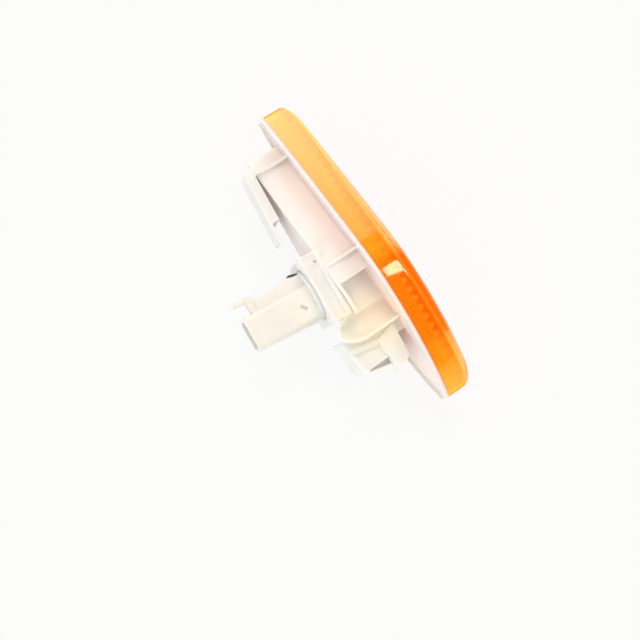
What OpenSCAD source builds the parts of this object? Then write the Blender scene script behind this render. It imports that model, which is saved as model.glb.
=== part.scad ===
// Marker lamp: an amber side lens welded to a white clip-in housing,
// with a bulb holder that turns in the housing's collar and comes out toward the back.
// Millimetres. X runs from the hook end to the clip end, Y from the lens to the back, Z across the lamp.
// The plane y = 0 is the back of the flange, which seats on the body panel.

/* [Lens outline] */
// Length of the lens
lens_length = 124; // [120:1:130]
// Width of the lens at its widest point
lens_width = 33.2; // [32:0.2:35]
// Distance from the middle to the widest point, toward the hook end
crown_shift = 9; // [8:0.5:10]
// Radius of the outline at the widest point
crown_radius = 60; // [50:5:70]
// Radius of the long flank that runs to the clip end
flank_radius = 900; // [800:50:1100]
// Tip radius at the hook end
hook_tip_radius = 2.5; // [2.2:0.1:2.8]
// Tip radius at the clip end
clip_tip_radius = 1.5; // [1.3:0.1:1.8]

/* [Lens] */
// Height of the straight skirt at the widest point
skirt_height = 7.8; // [7:0.2:8.4]
// How much higher the skirt is 55 mm away from the widest point
skirt_rise = 1.6; // [1:0.2:2]
// Depth of the lens at its middle
lens_depth = 12.1; // [11.6:0.1:12.8]
// Growth in depth for each millimetre toward the hook end
front_slope = 0.008; // [0.004:0.002:0.014]
// How much the front crowns toward the middle of the lens
front_crown = 0.6; // [0.3:0.1:0.9]
// How far the front falls away at the two tips
tip_drop = 2.4; // [1.8:0.1:2.6]
// Length over which the tips fall away
tip_run = 9; // [7:0.5:11]
// How far the rounded bevel runs in from the outline
bevel_inset = 3; // [2.4:0.2:3.4]
// Angle of the crease between skirt and bevel
crease_angle = 22; // [14:2:30]
// Angle at which the bevel runs into the front
front_angle = 86; // [84:1:88]
// Wall of the lens
lens_wall = 2; // [1.8:0.1:2.2]
// Distance from one prism flute to the next
flute_pitch = 3.7; // [3.4:0.1:4.2]
// Height of a prism flute
flute_height = 0.9; // [0.6:0.1:1.1]

/* [Housing chamber] */
// Thickness of the weld flange
flange_thickness = 1.3; // [1.1:0.1:1.5]
// Distance from the outline in to the chamber wall
chamber_inset = 3; // [2.8:0.1:3.2]
// Height of the chamber behind the seat
chamber_depth = 13.5; // [13:0.1:14]
// Wall of the chamber
chamber_wall = 1.5; // [1.3:0.1:1.7]
// End of the chamber toward the clip
chamber_clip_x = 50; // [49.5:0.1:50.4]
// End of the chamber toward the hook
chamber_hook_x = -31; // [-32:0.1:-30]
// Place of the small step in the near wall
wall_step_x = 10; // [9:0.5:11]
// Height of the small step in the near wall
wall_step = 0.3; // [0.2:0.1:0.5]
// Thickness of a gusset
gusset_thickness = 1.1; // [0.9:0.1:1.3]
// Place of the gussets toward the clip end
gusset_clip_x = 44.4; // [43.8:0.1:45]
// Place of the gussets in the middle
gusset_middle_x = 2.4; // [1.8:0.1:3]
// Height of the bead along the far edge of the flange
bead_height = 1.1; // [0.8:0.1:1.4]
// Width of the bead along the far edge of the flange
bead_width = 1; // [0.8:0.1:1.2]
// Height of the locating rib inside the lens
rib_height = 1.5; // [1.2:0.1:2]
// Thickness of the locating rib inside the lens
rib_thickness = 1; // [0.8:0.1:1.2]

/* [Pocket and release scoop] */
// Edge of the pocket toward the clip end
pocket_x = -5.5; // [-6:0.1:-5]
// Distance from the middle plane to the set-back wall
setback_z = 8; // [7.8:0.1:8.2]
// Thickness of the plate that bridges the pocket
bridge_thickness = 1.2; // [1:0.1:1.4]
// Middle of the scoop
scoop_x = -20.9; // [-21.2:0.1:-20.8]
// Inside radius of the scoop
scoop_radius = 4.7; // [4.6:0.05:4.8]
// Wall of the scoop
scoop_wall = 1.1; // [1:0.05:1.2]
// Height at which the scoop starts to close
scoop_straight = 13; // [12:0.5:13.5]
// Height at which the scoop ends
scoop_end = 22.9; // [22:0.1:23.5]
// Height of the scoop's open edge above the middle plane
scoop_edge_z = 11; // [10.8:0.1:11.2]

/* [Hook] */
// Place where the hook leaves the chamber
hook_root_x = -26.5; // [-26.8:0.1:-26.2]
// Tip of the hook's nose
hook_nose_x = -41.8; // [-42.2:0.1:-41.4]
// Height of the ledge at the nose
ledge_height = 11; // [10.8:0.1:11.2]
// Height of the hook's back
hook_height = 22.4; // [22:0.1:22.8]
// Near face of the hook block
hook_near_z = 8; // [7.8:0.1:8.4]
// Far face of the hook block
hook_far_z = 7; // [6.6:0.1:7.4]
// Gap for the body panel at the root of the hook
panel_gap = 3; // [2.6:0.1:3.2]
// How much the lens-side part of the hook stands proud
hook_step = 0.9; // [0.6:0.1:1.1]
// Depth of the recessed hook panel
hook_recess = 0.7; // [0.5:0.1:0.9]
// Wall left over the core at the back of the hook
hook_wall = 4; // [3.6:0.1:4.4]
// Depth of the relief behind the barb
relief_depth = 3; // [2.4:0.2:3.4]

/* [Spring arm] */
// Outer face of the arm's root
arm_root_x = 47.6; // [47.2:0.1:48]
// Thickness of the arm's root along the lamp
arm_root_thickness = 3.4; // [3:0.1:3.6]
// End of the ribbed part of the arm
arm_end_x = 26.3; // [25.8:0.1:26.8]
// End of the thin lip
lip_end_x = 18.9; // [18.4:0.1:19.4]
// Height of the arm's back at its root
arm_root_height = 17.8; // [17.6:0.1:18]
// Height of the arm's back where the lip starts
arm_end_height = 19.8; // [19.6:0.1:20]
// Gap between arm and chamber at the root
arm_gap = 0.9; // [0.8:0.1:1.1]
// How much the gap grows toward the lip
arm_gap_growth = 1.5; // [1.3:0.1:1.7]
// Half width of the spring arm
arm_half_width = 5.5; // [5:0.1:6]
// Thickness of the thin lip at the arm's end
lip_thickness = 1.1; // [1:0.1:1.3]
// Wall of the ribbed part of the arm
arm_wall = 1.3; // [1.1:0.1:1.5]

/* [Collar] */
// Middle of the collar along the lamp
collar_x = -3.2; // [-3.6:0.1:-3]
// Lean of the collar and the holder toward the clip end
collar_lean = 4; // [3:0.5:4.5]
// Length of the collar
collar_length = 26; // [25.6:0.1:26.2]
// Width of the collar
collar_width = 25; // [24.8:0.1:25.4]
// Height of the collar
collar_height = 7; // [6.8:0.1:7.2]
// Corner radius of the collar
collar_corner = 1.5; // [1.2:0.1:1.8]
// Radius of the collar's bore
bore_radius = 10.1; // [10:0.05:10.2]
// Radius of the hole in the lock ring
lock_hole_radius = 8.6; // [8.5:0.05:8.7]
// Thickness of the lock ring
lock_thickness = 1.4; // [1.3:0.1:1.5]
// Height of the lock ring's underside above the chamber
lock_height = 3.9; // [3.8:0.1:4]
// Height of the lock pocket's floor above the chamber
lock_floor = 0.6; // [0.5:0.05:0.7]
// Radius of the hole that the bulb passes
bulb_hole_radius = 6.2; // [6.1:0.05:6.3]
// Depth of the recessed panel on the near face
collar_recess = 0.8; // [0.6:0.1:1]
// Border around the recessed panel
collar_border = 0.8; // [0.7:0.1:1]
// Radius of the ejector mark in the panel
mark_radius = 1.3; // [1.1:0.1:1.5]
// Radius of the dimple in the ejector mark
dimple_radius = 0.55; // [0.45:0.05:0.65]
// Turn from locked to unlocked, in degrees
unlock_turn = 40; // [36:1:42]

/* [Bulb holder] */
// Half width of the connector shroud across the lamp
shroud_half_z = 6.5; // [6.3:0.1:6.7]
// Shroud edge toward the clip end
shroud_clip_x = 4.4; // [4.3:0.1:4.6]
// Shroud edge toward the hook end
shroud_hook_x = -8.5; // [-8.7:0.1:-8.4]
// Height of the shroud's open end above the chamber
shroud_end = 33.9; // [33:0.1:34.6]
// Depth of the connector socket
socket_depth = 13; // [12:0.5:14]
// Wall of the connector shroud
shroud_wall = 1.2; // [1.1:0.1:1.3]
// Corner radius of the shroud
shroud_corner = 2; // [1.6:0.1:2.4]
// Thickness of the holder's flange
holder_flange = 1.8; // [1.6:0.1:2]
// Radius of the holder's flange
holder_flange_radius = 9.8; // [9.7:0.05:9.85]
// Half thickness of the holder's side webs
web_half_z = 3.75; // [3.4:0.05:4]
// Distance from the top of the clip-side web to the shroud's open end
web_drop = 7.1; // [6.8:0.1:7.4]
// Gap between the shroud and the latch finger
finger_gap = 4.85; // [4.6:0.05:5.1]
// Thickness of the latch finger
finger_thickness = 1.9; // [1.7:0.1:2.1]
// Height of the bridge that carries the latch finger
finger_bridge = 2.6; // [2.3:0.1:2.9]
// How far the latch finger stands past the shroud
finger_past = 0.7; // [0.4:0.1:1]
// Number of locking lugs
lug_count = 3; // [2:1:4]
// Width of a locking lug, in degrees
lug_angle = 30; // [26:1:31]
// Thickness of the seal
seal_thickness = 0.8; // [0.7:0.05:0.9]
// Thickness of the detent spring
leaf_thickness = 0.5; // [0.4:0.05:0.6]
// Width of the detent spring
leaf_width = 4; // [3.6:0.1:4.4]
// Length of the detent spring past the holder's flange
leaf_length = 3.4; // [3:0.1:3.8]

/* [Bulb and contacts] */
// Radius of the bulb's glass
glass_radius = 5.1; // [5:0.05:5.15]
// Wall of the bulb's glass
glass_wall = 0.6; // [0.5:0.1:0.7]
// Length of the glass in front of the wedge base
glass_length = 20.5; // [19.5:0.5:21]
// Thickness of the wedge base
wedge_thickness = 2.6; // [2.4:0.1:2.8]
// Width of the wedge base
wedge_width = 9.4; // [9:0.1:9.6]
// Length of the wedge base
wedge_length = 6; // [5.5:0.1:6.2]
// Distance of a lead wire from the bulb's axis
wire_x = 2.2; // [2:0.1:2.4]
// Distance from the tip of the glass to the filament
filament_depth = 6.5; // [6:0.1:7]
// Radius of the filament's coil
filament_radius = 0.4; // [0.3:0.05:0.5]
// Radius of a lead wire
wire_radius = 0.25; // [0.2:0.05:0.3]
// Distance of a contact blade from the shroud's middle
blade_offset = 2.8; // [2.6:0.1:2.9]
// Distance from a blade's tip to the shroud's open end
blade_recess = 3; // [2.5:0.1:3.5]
// Width of a contact blade
blade_width = 2.8; // [2.6:0.1:2.9]
// Thickness of a contact blade
blade_thickness = 0.8; // [0.6:0.1:0.9]
// Thickness of a contact's spring arm
strip_thickness = 0.5; // [0.4:0.05:0.5]

/* [Clearances] */
// Gap between the locating rib and the lens
rib_clearance = 0.1; // [0.05:0.05:0.2]
// Gap between holder and collar
turn_clearance = 0.3; // [0.25:0.05:0.35]
// Play on each side of a locking lug, in degrees
lug_play = 2; // [1.5:0.5:3]
// Gap around the seal
seal_clearance = 0.1; // [0.05:0.05:0.15]
// Gap around a contact in the holder
contact_clearance = 0.05; // [0.03:0.01:0.08]
// Gap around the bulb in the holder
bulb_clearance = 0.25; // [0.2:0.05:0.3]

/* [Show] */
// Piece to draw

/* [Hidden] */
amber = [0.95, 0.45, 0.05];
white = [0.93, 0.91, 0.87];
cream = [0.88, 0.87, 0.82];
black = [0.12, 0.12, 0.12];
steel = [0.45, 0.44, 0.42];
clear = [0.85, 0.9, 0.95];
brass = [0.8, 0.65, 0.3];
tungsten = [0.35, 0.35, 0.37];
round_fn = 96;
small_fn = 32;
steps = 44;
past = 0.05;

// Outline: tip arc, hook-side arc, crown arc, flank arc and tip arc, each tangent to the next
half_length = lens_length / 2;
half_width = lens_width / 2;
crown_x = -crown_shift;
hook_tip = [-half_length + hook_tip_radius, 0];
clip_tip = [half_length - clip_tip_radius, 0];
hook_run = crown_x - hook_tip[0];
hook_radius = (pow(hook_run, 2) + pow(half_width, 2) - pow(hook_tip_radius, 2))
    / (2 * (half_width - hook_tip_radius));
hook_center = [crown_x, half_width - hook_radius];
crown_center = [crown_x, half_width - crown_radius];
flank_gap = flank_radius - crown_radius;
tip_gap = crown_center - clip_tip;
tip_reach = norm(tip_gap);
flank_cos = (pow(tip_reach, 2) + pow(flank_gap, 2) - pow(flank_radius - clip_tip_radius, 2))
    / (2 * flank_gap * tip_reach);
flank_angle = atan2(tip_gap[0], tip_gap[1]) + acos(flank_cos);
flank_center = crown_center - flank_gap * [sin(flank_angle), cos(flank_angle)];
tip_angle = atan2(clip_tip[0] - flank_center[0], clip_tip[1] - flank_center[1]);
hook_tip_angle = atan2(hook_tip[0] - hook_center[0], hook_tip[1] - hook_center[1]);

function arc_z(center, radius, x) = center[1] + sqrt(max(0, pow(radius, 2) - pow(x - center[0], 2)));

// Half width of the outline at x, after it has been moved in by inset
function half_at(x, inset) =
    x < hook_tip[0] + (hook_tip_radius - inset) * sin(hook_tip_angle) && inset < hook_tip_radius
        ? arc_z(hook_tip, hook_tip_radius - inset, x)
    : x < crown_x ? arc_z(hook_center, hook_radius - inset, x)
    : x < crown_x + (crown_radius - inset) * sin(flank_angle) ? arc_z(crown_center, crown_radius - inset, x)
    : x < flank_center[0] + (flank_radius - inset) * sin(tip_angle) || inset >= clip_tip_radius
        ? arc_z(flank_center, flank_radius - inset, x)
    : arc_z(clip_tip, clip_tip_radius - inset, x);

function hook_end(inset) = inset < hook_tip_radius
    ? -half_length + inset
    : hook_center[0] - sqrt(pow(hook_radius - inset, 2) - pow(hook_center[1], 2));
function clip_end(inset) = inset < clip_tip_radius
    ? half_length - inset
    : flank_center[0] + sqrt(pow(flank_radius - inset, 2) - pow(flank_center[1], 2));

// Places along X, closer together near both ends
function station(i, from, to) = from + (to - from) * (1 - cos(180 * i / steps)) / 2;
function side(inset, from, to) = [for (i = [0 : steps])
    let (x = station(i, from, to))
    [x, half_at(x, inset)]];
function flipped(points) = [for (i = [len(points) - 1 : -1 : 0]) [points[i][0], -points[i][1]]];
function rim(inset) = let (upper = side(inset, hook_end(inset), clip_end(inset)))
    concat(
        [[upper[0][0], 0]],
        [for (i = [1 : steps - 1]) upper[i]],
        [[upper[steps][0], 0]],
        [for (i = [steps - 1 : -1 : 1]) [upper[i][0], -upper[i][1]]]
    );

// Lens depth at x, for the crease and for the front, which both fall away at the tips
function tip_share(x) = pow(max(0, abs(x) - half_length + tip_run) / tip_run, 2);
rise_run = 55;
crease_drop = 0.8 * tip_drop;
function crease_y(x) = -flange_thickness - skirt_height
    - skirt_rise * pow(min(1, abs(x - crown_x) / rise_run), 2)
    + crease_drop * tip_share(x);
function front_y(x) = -flange_thickness - lens_depth + front_slope * x + tip_drop * tip_share(x);

// Bevel profile from crease to front, as a share of its inset and of its height
bevel_steps = 6;
function bevel_angle(k) = crease_angle + (front_angle - crease_angle) * k / bevel_steps;
function bevel_in(k) = (cos(crease_angle) - cos(bevel_angle(k))) / (cos(crease_angle) - cos(front_angle));
function bevel_up(k) = (sin(bevel_angle(k)) - sin(crease_angle)) / (sin(front_angle) - sin(crease_angle));

function bevel_ring(k, inset, run, lift) = [for (p = rim(inset + run * bevel_in(k)))
    [p[0], crease_y(p[0]) + (front_y(p[0]) + lift - crease_y(p[0])) * bevel_up(k), p[1]]];
function flat_ring(inset, y) = [for (p = rim(inset)) [p[0], y, p[1]]];

// Rings that crown the front, from near the middle out to the bevel
crown_steps = 4;
crown_core = 2.6;
crown_reach = half_width - crown_core;
function crown_inset(k) = bevel_inset + (crown_reach - bevel_inset) * k / crown_steps;
function crown_ring(k) = [for (p = rim(crown_inset(k)))
    [p[0], front_y(p[0]) - front_crown * (1 - pow(1 - k / crown_steps, 2)), p[1]]];

function bowl(inset, run, lift, rear_y) = concat(
    [for (k = [bevel_steps : -1 : 0]) bevel_ring(k, inset, run, lift)],
    [flat_ring(inset, rear_y)]
);

// Closed skin over rings of points, from the front ring to the rear ring
module skin(rings) {
    count = 2 * steps;
    last = len(rings) - 1;
    polyhedron(
        points = [for (ring = rings) for (p = ring) p],
        faces = concat(
            [for (r = [0 : last - 1]) for (i = [0 : count - 1])
                [r * count + i, (r + 1) * count + i, (r + 1) * count + (i + 1) % count]],
            [for (r = [0 : last - 1]) for (i = [0 : count - 1])
                [r * count + i, (r + 1) * count + (i + 1) % count, r * count + (i + 1) % count]],
            [[0, 1, count - 1], [steps - 1, steps, steps + 1]],
            [for (i = [1 : steps - 2]) [i, i + 1, count - i - 1]],
            [for (i = [1 : steps - 2]) [i, count - i - 1, count - i]],
            [[for (i = [count - 1 : -1 : 0]) last * count + i]]
        )
    );
}

// Shapes drawn in X and Z and pulled along Y, and shapes drawn in X and Y and pulled along Z
module along_y(from, to) {
    translate([0, to, 0])
        rotate([90, 0, 0])
            linear_extrude(to - from)
                children();
}

module along_z(from, to) {
    translate([0, 0, from])
        linear_extrude(to - from)
            children();
}

module drum(radius, from, to, sides = round_fn) {
    translate([0, from, 0])
        rotate([-90, 0, 0])
            cylinder(r = radius, h = to - from, $fn = sides);
}

module block(from, to) {
    translate(from)
        cube(to - from);
}

module rounded(from, to, radius) {
    size = to - from;
    translate([from[0] + radius, from[1]])
        square([size[0] - 2 * radius, size[1]]);
    translate([from[0], from[1] + radius])
        square([size[0], size[1] - 2 * radius]);
    for (x = [from[0] + radius, to[0] - radius])
        for (y = [from[1] + radius, to[1] - radius])
            translate([x, y])
                circle(r = radius, $fn = small_fn);
}

// Part of a disc between two angles, where 0 points along +Z and 90 along +X
module sector(radius, start, end, from, to) {
    reach = radius * 1.6;
    middle = (start + end) / 2;
    intersection() {
        drum(radius, from, to);
        along_y(from - 1, to + 1)
            polygon([
                [0, 0],
                reach * [sin(start), cos(start)],
                reach * [sin(middle), cos(middle)],
                reach * [sin(end), cos(end)]
            ]);
    }
}

// The collar's own frame: origin on the chamber's back, +Y along the holder's axis
module in_collar() {
    translate([collar_x, chamber_depth, 0])
        rotate([0, 0, -collar_lean])
            children();
}

// Lens
flute_count = floor(lens_length / flute_pitch) + 1;
flute_start = -flute_count * flute_pitch / 2;
function flute_base(x) = front_y(x) + lens_wall;
flute_profile = concat(
    [for (i = [0 : 2 * flute_count])
        let (x = flute_start + i * flute_pitch / 2)
        [x, flute_base(x) + (i % 2 == 0 ? past : flute_height)]],
    [[-flute_start, front_y(-half_length) - lens_wall], [flute_start, front_y(-half_length) - lens_wall]]
);

module lens() {
    color(amber)
        difference() {
            skin(concat(
                [for (k = [crown_steps : -1 : 1]) crown_ring(k)],
                bowl(0, bevel_inset, 0, -flange_thickness)
            ));
            difference() {
                skin(bowl(lens_wall, bevel_inset - lens_wall / 2, lens_wall, -flange_thickness + past));
                along_z(-half_width, half_width)
                    polygon(flute_profile);
            }
        }
}

// Housing
wall_in_z = setback_z - chamber_wall;
chamber_back = chamber_depth - chamber_wall;
inner_inset = chamber_inset + chamber_wall;
scoop_hook_x = scoop_x - scoop_radius - scoop_wall;

bead_inset = 0.3;

module flange() {
    along_y(-flange_thickness, 0)
        polygon(rim(0));
    // Locating rib that stands inside the lens
    along_y(-flange_thickness - rib_height, -flange_thickness + past)
        difference() {
            polygon(rim(lens_wall + rib_clearance));
            polygon(rim(lens_wall + rib_clearance + rib_thickness));
        }
    // Bead on the far edge
    along_y(-past, bead_height)
        intersection() {
            difference() {
                polygon(rim(bead_inset));
                polygon(rim(bead_inset + bead_width));
            }
            translate([-half_length, -half_width])
                square([lens_length, half_width - bead_width]);
        }
}

bridge_taper = 2;

module chamber_outside() {
    along_y(-past, chamber_depth)
        polygon(concat(
            [[chamber_hook_x, setback_z], [pocket_x, setback_z]],
            side(chamber_inset - wall_step, pocket_x, wall_step_x),
            side(chamber_inset, wall_step_x, chamber_clip_x),
            flipped(side(chamber_inset, chamber_hook_x, chamber_clip_x))
        ));
    // Plate that bridges the pocket
    along_y(chamber_depth - bridge_thickness, chamber_depth)
        polygon(concat(
            [[scoop_x, setback_z - 1]],
            [[scoop_x, half_at(scoop_x, chamber_inset) - bridge_taper]],
            side(chamber_inset, scoop_x + scoop_radius, pocket_x + past),
            [[pocket_x + past, setback_z - 1]]
        ));
}

module chamber_inside() {
    along_y(-flange_thickness - past, chamber_back)
        polygon(concat(
            [[chamber_hook_x + chamber_wall, wall_in_z], [pocket_x + chamber_wall, wall_in_z]],
            side(inner_inset, pocket_x + chamber_wall, chamber_clip_x - 2 * chamber_wall),
            flipped(side(inner_inset, chamber_hook_x + chamber_wall, chamber_clip_x - 2 * chamber_wall))
        ));
}

// Gussets stand from the flange to the chamber wall and run out at the chamber's back
gusset_root = 0.5;
gusset_margin = 0.4;

module gusset(x, inset) {
    outer = half_at(x, 0) - gusset_margin;
    wall = half_at(x, inset);
    for (way = [1, -1])
        translate([x + gusset_thickness / 2, 0, 0])
            rotate([0, -90, 0])
                linear_extrude(gusset_thickness)
                    polygon([
                        [way * (wall - gusset_root), -past],
                        [way * outer, -past],
                        [way * wall, chamber_depth],
                        [way * (wall - gusset_root), chamber_depth]
                    ]);
}

scoop_points = 8;
function scoop_profile(radius, start, end) = concat(
    [[0, -past], [radius, -past]],
    [for (k = [0 : scoop_points - 1])
        let (a = 90 * k / scoop_points)
        [radius * cos(a), start + (end - start) * sin(a)]],
    [[0, end]]
);

module scoop_body(radius, end, top) {
    intersection() {
        translate([scoop_x, 0, scoop_edge_z])
            rotate([-90, 0, 0])
                rotate_extrude($fn = round_fn)
                    polygon(scoop_profile(radius, scoop_straight, end));
        block([scoop_x - 2 * radius, -1, -1], [scoop_x + 2 * radius, scoop_end + 1, top]);
    }
}

// Hook corners in X and Y: root, foot, nose, barb, back and the blend into the scoop
hook_foot = [hook_nose_x + 2, panel_gap + 1.45];
hook_toe = [hook_nose_x + 1.4, panel_gap + 2];
hook_nose = [hook_nose_x, ledge_height];
barb_middle = [hook_nose_x + 2.3, ledge_height + 4.4];
barb_top = [hook_nose_x + 4.7, hook_height - 1.4];
barb_chamfer = 1;
hook_outline = [
    [hook_root_x, panel_gap],
    hook_foot,
    hook_toe,
    hook_nose,
    barb_middle,
    barb_top,
    barb_top + [barb_chamfer, barb_chamfer],
    [hook_root_x - 1, hook_height],
    [scoop_x - 2, scoop_end],
    [scoop_x - 4, scoop_end - 4],
    [scoop_hook_x + scoop_wall / 2, scoop_straight]
];
panel_x = hook_root_x - 3;
rim_height = 0.5;
rim_width = 1.8;

module hook_block() {
    along_z(-hook_far_z, hook_near_z)
        polygon(hook_outline);
    // Lens-side part stands proud up to the ledge
    along_z(hook_near_z - 1, hook_near_z + hook_step)
        polygon([
            [hook_root_x - 0.4, panel_gap + past],
            hook_foot,
            hook_toe,
            hook_nose,
            [panel_x + 0.4, ledge_height]
        ]);
    // Raised rim along the panel on the scoop side
    along_z(hook_near_z - 1, hook_near_z + rim_height)
        polygon([
            [panel_x + 0.6, ledge_height - rim_height],
            [panel_x + 0.6 - rim_width, ledge_height - rim_height],
            [panel_x + 0.1, hook_height - 4.4],
            [panel_x + 1.2, hook_height - 0.4],
            [panel_x + 1.2 + rim_width, hook_height - 0.4]
        ]);
}

relief_gap = 0.2;
relief_width = 2.5;
panel_length = 4.4;
core_margin = 2.6;
core_step = 1.4;

module hook_cuts() {
    // Wedge-shaped relief behind the barb
    along_z(hook_near_z - relief_depth, hook_near_z + 2)
        polygon([
            [barb_top[0] + 0.7, ledge_height + relief_gap],
            [barb_top[0] + 0.7 - relief_width, ledge_height + relief_gap],
            [barb_top[0], hook_height - 3],
            [barb_top[0] + 0.5, hook_height - 3]
        ]);
    // Recessed panel
    along_z(hook_near_z - hook_recess, hook_near_z + 2)
        polygon([
            [panel_x - 1.7, ledge_height + 3 * relief_gap],
            [panel_x - 1.7 - panel_length, ledge_height + 3 * relief_gap],
            [panel_x - 1.9 - panel_length, hook_height - 1.8],
            [panel_x + 0.1, hook_height - 1.6],
            [panel_x - 0.3, hook_height - 5]
        ]);
    // Core that opens to the far side
    along_z(-hook_far_z - 1, hook_near_z - hook_wall)
        polygon([
            [chamber_hook_x - relief_gap, panel_gap + core_margin],
            [hook_foot[0] + core_step, panel_gap + core_margin + 0.4],
            [hook_nose[0] + 2 * core_step, ledge_height - core_step],
            [barb_top[0] + 1.5 * core_step, ledge_height - core_step],
            [barb_top[0] + 1.5 * core_step, hook_height - core_margin],
            [chamber_hook_x - relief_gap, hook_height - core_margin]
        ]);
}

// Spring arm: root block on the chamber's back, ribbed arm, thin lip
arm_inner_x = arm_root_x - arm_root_thickness;
arm_chamfer = 0.6;
lip_height = arm_end_height + 0.8;
lip_droop = 0.1;
function arm_share(x) = (arm_root_x - x) / (arm_root_x - arm_end_x);
function arm_back(x) = arm_root_height + (arm_end_height - arm_root_height) * arm_share(x);
function arm_front(x) = chamber_depth + arm_gap
    + arm_gap_growth * (arm_inner_x - x) / (arm_inner_x - arm_end_x);
arm_outline = [
    [arm_root_x, chamber_back],
    [arm_root_x, arm_root_height - arm_chamfer],
    [arm_root_x - arm_chamfer, arm_root_height],
    [arm_end_x, arm_end_height],
    [lip_end_x + lip_thickness / 2, lip_height],
    [lip_end_x, lip_height - lip_thickness / 2],
    [lip_end_x + lip_thickness / 3, lip_height - lip_droop - lip_thickness],
    [arm_end_x, arm_end_height + lip_droop - lip_thickness],
    [arm_end_x, arm_front(arm_end_x)],
    [arm_inner_x, arm_front(arm_inner_x)],
    [arm_inner_x, chamber_back]
];

// Core between two of the arm's ribs, open toward the chamber
module arm_core(from, to) {
    root_x = arm_inner_x - arm_wall;
    end_x = arm_end_x + arm_wall;
    along_z(from, to)
        polygon([
            [root_x, arm_front(root_x) - arm_gap],
            [end_x, arm_front(end_x) - arm_gap],
            [end_x, arm_back(end_x) - arm_wall],
            [root_x, arm_back(root_x) - arm_wall]
        ]);
}

module spring_arm() {
    difference() {
        along_z(-arm_half_width, arm_half_width)
            polygon(arm_outline);
        arm_core(arm_wall / 2, arm_half_width - arm_wall);
        arm_core(-arm_half_width + arm_wall, -arm_wall / 2);
    }
}

// Collar with its lock ring
collar_half_x = collar_length / 2;
collar_half_z = collar_width / 2;
collar_root = 0.6;
lock_top = lock_height + lock_thickness;
lug_pitch = 360 / lug_count;
mark_x = collar_half_x - mark_radius - 2.5;
mark_y = 3 * collar_border;

module collar_block() {
    in_collar() {
        along_y(-4 * past, collar_height)
            rounded([-collar_half_x, -collar_half_z], [collar_half_x, collar_half_z], collar_corner);
        along_y(-chamber_wall, 0)
            rounded(
                [collar_root - collar_half_x, collar_root - collar_half_z],
                [collar_half_x - collar_root, collar_half_z - collar_root],
                collar_corner
            );
    }
}

module collar_cuts() {
    lug_half = lug_angle / 2 + lug_play;
    in_collar() {
        drum(bulb_hole_radius, -2 * chamber_wall, 2);
        drum(bore_radius, lock_top, collar_height + 1);
        drum(lock_hole_radius, lock_floor, lock_top + past);
        for (k = [0 : lug_count - 1]) {
            // Entry notch, and the pocket in which the lug turns
            locked = lug_pitch * k;
            unlocked = locked + unlock_turn;
            sector(bore_radius, unlocked - lug_half, unlocked + lug_half, lock_floor, lock_top + past);
            sector(bore_radius, locked - lug_half, unlocked + lug_half, lock_floor, lock_height);
        }
        // Recessed panel on the near face, with the dimple of the ejector mark
        block(
            [1.5 * collar_border - collar_half_x, 2 * collar_border, collar_half_z - collar_recess],
            [collar_half_x - collar_border, collar_height - collar_border, collar_half_z + 1]
        );
        translate([mark_x, mark_y, collar_half_z - 2 * collar_recess])
            cylinder(r = dimple_radius, h = 2 * collar_recess, $fn = small_fn);
    }
}

// Ring that an ejector pin leaves in the recessed panel
module ejector_ring() {
    in_collar()
        translate([mark_x, mark_y, collar_half_z - collar_recess - past])
            difference() {
                cylinder(r = mark_radius, h = collar_recess / 2 + past, $fn = small_fn);
                cylinder(r = dimple_radius, h = collar_recess, $fn = small_fn);
            }
}

module housing() {
    color(white)
        union() {
            difference() {
                union() {
                    difference() {
                        union() {
                            flange();
                            chamber_outside();
                            gusset(gusset_clip_x, chamber_inset);
                            gusset(gusset_middle_x, chamber_inset - wall_step);
                        }
                        chamber_inside();
                    }
                    collar_block();
                    hook_block();
                    scoop_body(scoop_radius + scoop_wall, scoop_end, scoop_edge_z);
                }
                scoop_body(scoop_radius, scoop_end - scoop_wall, scoop_edge_z + 2);
                // Pocket beside the chamber
                block(
                    [scoop_x, 0, setback_z],
                    [pocket_x, chamber_depth - bridge_thickness, half_width]
                );
                hook_cuts();
                collar_cuts();
            }
            spring_arm();
            ejector_ring();
        }
}

// Bulb holder, in the collar's frame
hub_radius = lock_hole_radius - turn_clearance;
hub_start = lock_floor + turn_clearance;
flange_start = lock_top + seal_clearance + seal_thickness;
flange_end = flange_start + holder_flange;
socket_floor = shroud_end - socket_depth;
shroud_x = (shroud_clip_x + shroud_hook_x) / 2;
seat_depth = 5;
web_top = shroud_end - web_drop;
web_reach = 4;
finger_x = shroud_clip_x + finger_gap;
finger_out_x = finger_x + finger_thickness;
finger_end = shroud_end + finger_past;
bridge_top = web_top + finger_bridge;
dent_place = [shroud_x - 0.85, flange_end + 4.8, shroud_half_z];
dent_half = [1.3, 0.7, 1];
dent_turn = 35;
cross_gap = 1.5;
contact_inner_z = wedge_thickness / 2 + 2 * wire_radius;
contact_outer_z = contact_inner_z + strip_thickness;
contact_start = seat_depth + 2;
contact_cross = seat_depth + wedge_length + cross_gap;
contact_cross_end = contact_cross + blade_thickness;
blade_end = shroud_end - blade_recess;
blade_tip = 1;
strip_in_x = wire_x - 0.9;
strip_out_x = wire_x + 1.4;

module blade_slot(x) {
    half_x = blade_width / 2 + contact_clearance;
    half_z = blade_thickness / 2 + contact_clearance;
    block([x - half_x, contact_cross, -half_z], [x + half_x, socket_floor + 1, half_z]);
}

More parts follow.
